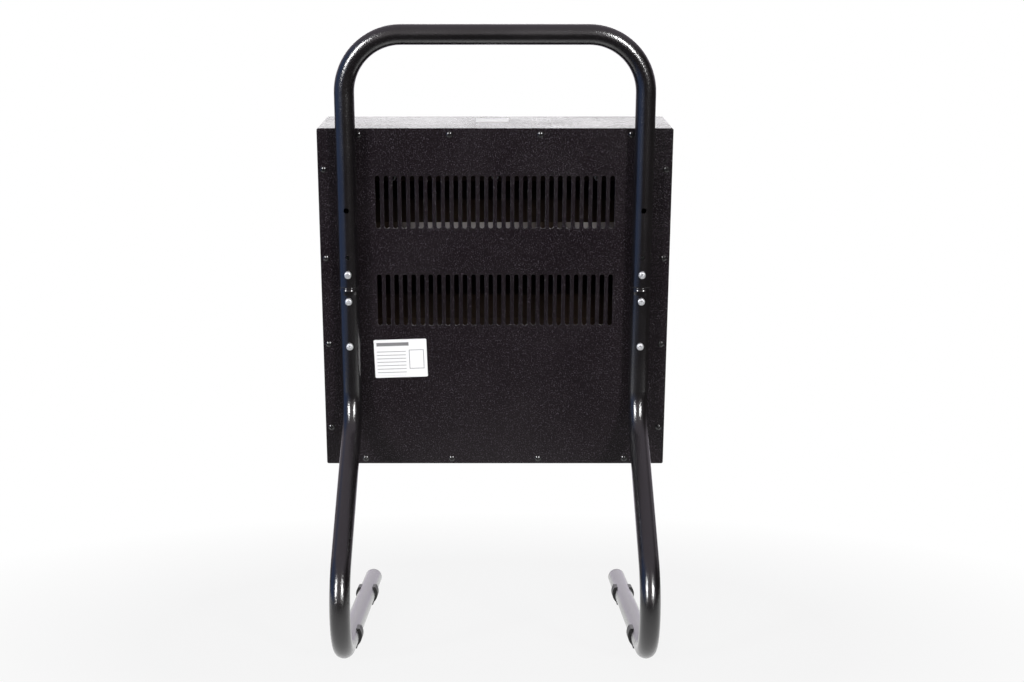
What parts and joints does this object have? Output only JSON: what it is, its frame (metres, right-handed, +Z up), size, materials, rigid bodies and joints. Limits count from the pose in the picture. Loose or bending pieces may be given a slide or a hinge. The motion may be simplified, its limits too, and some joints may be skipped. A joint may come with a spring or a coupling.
{
  "type": "infrared heater",
  "caption": "Free-standing infrared heater: a square louvred steel box with guarded quartz lamps, tilted back on a bent tube stand with a handle loop.",
  "frame": {"origin": "floor level under the middle of the part's bounding box", "axes": "+Z up, the lamps face -Y and tilt up, +X to the right as seen from the front"},
  "size_m": [0.391, 0.444, 0.6866],
  "materials": {
    "stand_paint": "semi-gloss black powder coat",
    "box_paint": "fine textured black powder coat",
    "zinc": "bright zinc plate",
    "black_screw": "black oxide",
    "galvanised": "galvanised sheet",
    "black_plastic": "satin black",
    "grey_plastic": "matt grey",
    "white_plastic": "matt white",
    "black_rubber": "matt black",
    "bright_aluminium": "polished",
    "quartz": "clear quartz",
    "tungsten": "drawn wire",
    "lamp_ceramic": "unglazed white",
    "chrome_wire": "bright plate",
    "brass_screw": "turned",
    "label_stock": "white film",
    "dial_film": "printed film",
    "brown_lead": "silicone sleeve",
    "white_lead": "glass braid sleeve",
    "blue_lead": "silicone sleeve"
  },
  "bodies": {
    "heater": {"handle_tube": "stand_paint", "left_leg_tube": "stand_paint", "right_leg_tube": "stand_paint", "left_joining_sleeve": "galvanised", "right_joining_sleeve": "galvanised", "stand_screws": "zinc", "left_anchor_strip": "galvanised", "right_anchor_strip": "galvanised", "left_foot_plug": "black_plastic", "right_foot_plug": "black_plastic", "rear_left_foot_clip": "black_rubber", "front_left_foot_clip": "black_rubber", "rear_right_foot_clip": "black_rubber", "front_right_foot_clip": "black_rubber", "housing_shell": "box_paint", "rear_panel": "box_paint", "rear_panel_screws": "black_screw", "wire_guard": "chrome_wire", "guard_clips": "zinc", "guard_screws": "zinc", "dial_plate": "dial_film", "rating_label": "label_stock", "top_label": "label_stock", "twin_reflector": "bright_aluminium", "left_lamp_bracket": "galvanised", "right_lamp_bracket": "galvanised", "stud_nuts": "zinc", "upper_lamp_tube": "quartz", "lower_lamp_tube": "quartz", "upper_lamp_filament": "tungsten", "lower_lamp_filament": "tungsten", "upper_lamp_caps": "lamp_ceramic", "lower_lamp_caps": "lamp_ceramic", "upper_left_lamp_holder": "lamp_ceramic", "upper_right_lamp_holder": "lamp_ceramic", "lower_left_lamp_holder": "lamp_ceramic", "lower_right_lamp_holder": "lamp_ceramic", "heat_shield": "galvanised", "thermal_cutout": "galvanised", "selector_switch": "grey_plastic", "selector_nut": "zinc", "tip_bracket": "galvanised", "tip_case": "grey_plastic", "tip_cover": "grey_plastic", "tip_pin": "zinc", "gland_body": "grey_plastic", "gland_locknut": "grey_plastic", "gland_seal": "black_rubber", "gland_cap": "grey_plastic", "terminal_block": "white_plastic", "terminal_screws": "brass_screw", "lead_live": "brown_lead", "lead_switched": "brown_lead", "lead_upper_lamp": "white_lead", "lead_lower_lamp": "white_lead", "lead_neutral_upper": "blue_lead", "lead_neutral_lower": "blue_lead"},
    "selector": {"selector_knob": "black_plastic", "selector_shaft": "zinc"},
    "pendulum": {"tip_pendulum": "brass_screw"}
  },
  "joints": [
    {"name": "selector_turn", "type": "hinge", "parent": "heater", "child": "selector", "pos_m": [0.112, -0.06117, 0.25603], "axis": [0, 0.9736, -0.2284], "range_deg": [0, 120]},
    {"name": "tip_swing", "type": "hinge", "parent": "heater", "child": "pendulum", "pos_m": [0.02, -0.0138, 0.25788], "axis": [1, 0, 0], "range_deg": [-18, 18]}
  ]
}
